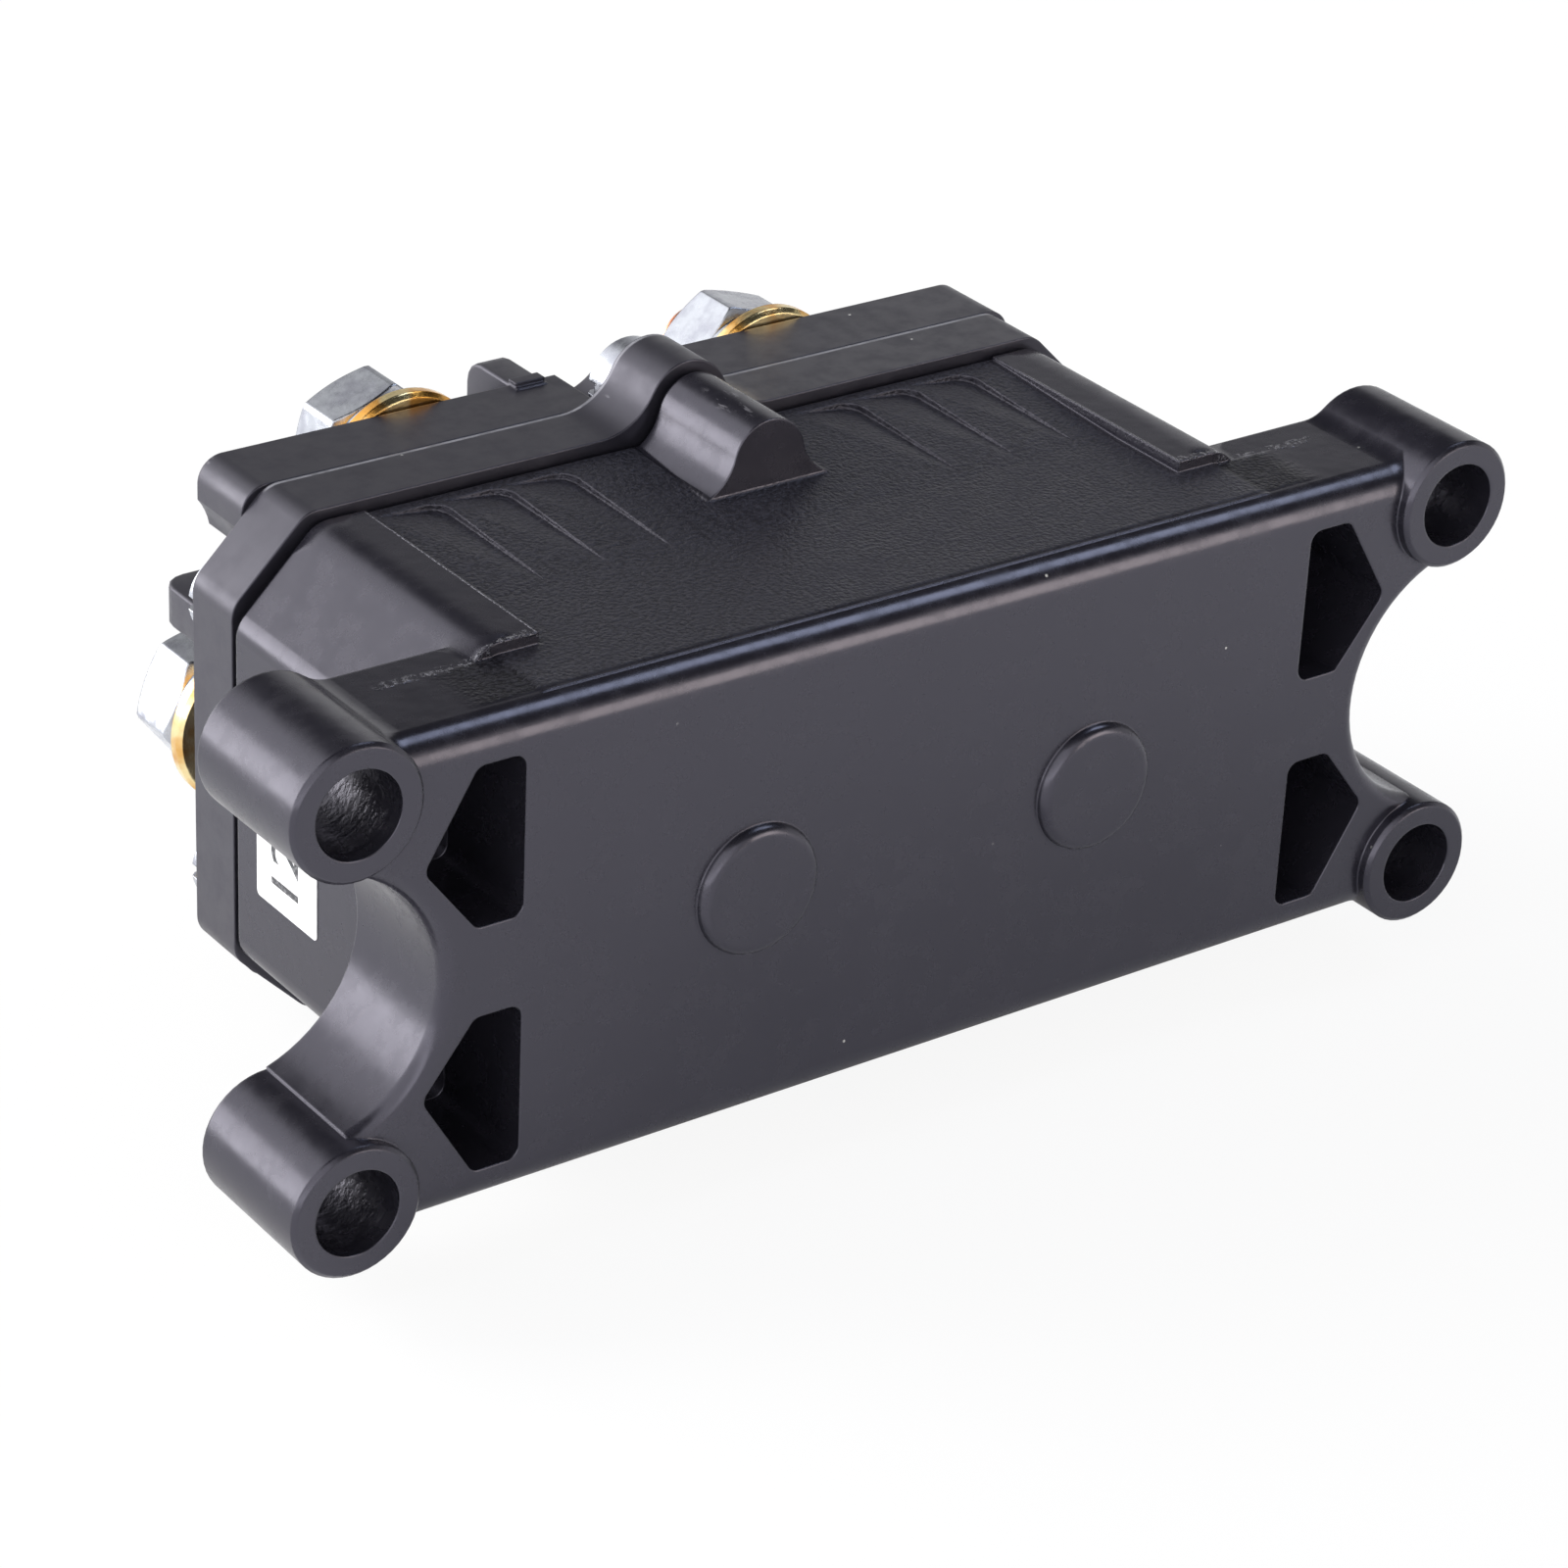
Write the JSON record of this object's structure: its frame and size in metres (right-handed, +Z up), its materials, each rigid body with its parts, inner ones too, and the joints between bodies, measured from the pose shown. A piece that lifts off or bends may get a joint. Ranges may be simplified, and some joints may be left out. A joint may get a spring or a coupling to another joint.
{
  "type": "winch contactor",
  "caption": "Sealed reversing contactor for a small winch: black moulded case with four mounting ears, front cover, threaded power studs and insulating barriers.",
  "frame": {"origin": "centre of the four mounting holes, on the mounting surface", "axes": "+X along the long side, +Y out of the mounting surface towards the studs, +Z up across the short side"},
  "size_m": [0.104, 0.0554, 0.0492],
  "materials": {
    "black_moulding": "satin black, fine grain",
    "seal_rubber": "matt",
    "zinc_steel": "bright zinc",
    "yellow_zinc": "yellow passivated zinc",
    "copper": "plain copper",
    "tinned_brass": "plain",
    "plated_steel": "plated",
    "nylon": "natural",
    "enamelled_copper": "enamelled wire",
    "spring_steel": "drawn wire"
  },
  "bodies": {
    "housing": {"rear_casing": "black_moulding", "cover_gasket": "seal_rubber", "front_cover": "black_moulding", "cover_screws": "zinc_steel", "terminal_studs": "copper", "terminal_washers": "yellow_zinc", "spring_washers": "zinc_steel", "terminal_nuts": "zinc_steel", "coil_blades": "tinned_brass", "battery_strip_front": "copper", "battery_strip_rear": "copper", "yoke_left": "plated_steel", "pole_piece_left": "plated_steel", "bobbin_left": "nylon", "winding_left": "enamelled_copper", "motor_strip_left": "copper", "return_spring_left": "spring_steel", "yoke_right": "plated_steel", "pole_piece_right": "plated_steel", "bobbin_right": "nylon", "winding_right": "enamelled_copper", "motor_strip_right": "copper", "return_spring_right": "spring_steel"},
    "armature_left": {"plunger_left": "plated_steel", "push_rod_left": "plated_steel", "contact_bush_left": "nylon", "contact_bridge_left": "copper", "contact_spring_left": "spring_steel"},
    "armature_right": {"plunger_right": "plated_steel", "push_rod_right": "plated_steel", "contact_bush_right": "nylon", "contact_bridge_right": "copper", "contact_spring_right": "spring_steel"}
  },
  "joints": [
    {"name": "armature_left_slide", "type": "slide", "parent": "housing", "child": "armature_left", "axis": [0, 1, 0], "range_m": [0, 0.0025], "stiffness_N_per_m": 600, "springref_m": -0.003, "deforming": ["return_spring_left"]},
    {"name": "armature_right_slide", "type": "slide", "parent": "housing", "child": "armature_right", "axis": [0, 1, 0], "range_m": [0, 0.0025], "stiffness_N_per_m": 600, "springref_m": -0.003, "deforming": ["return_spring_right"]}
  ]
}
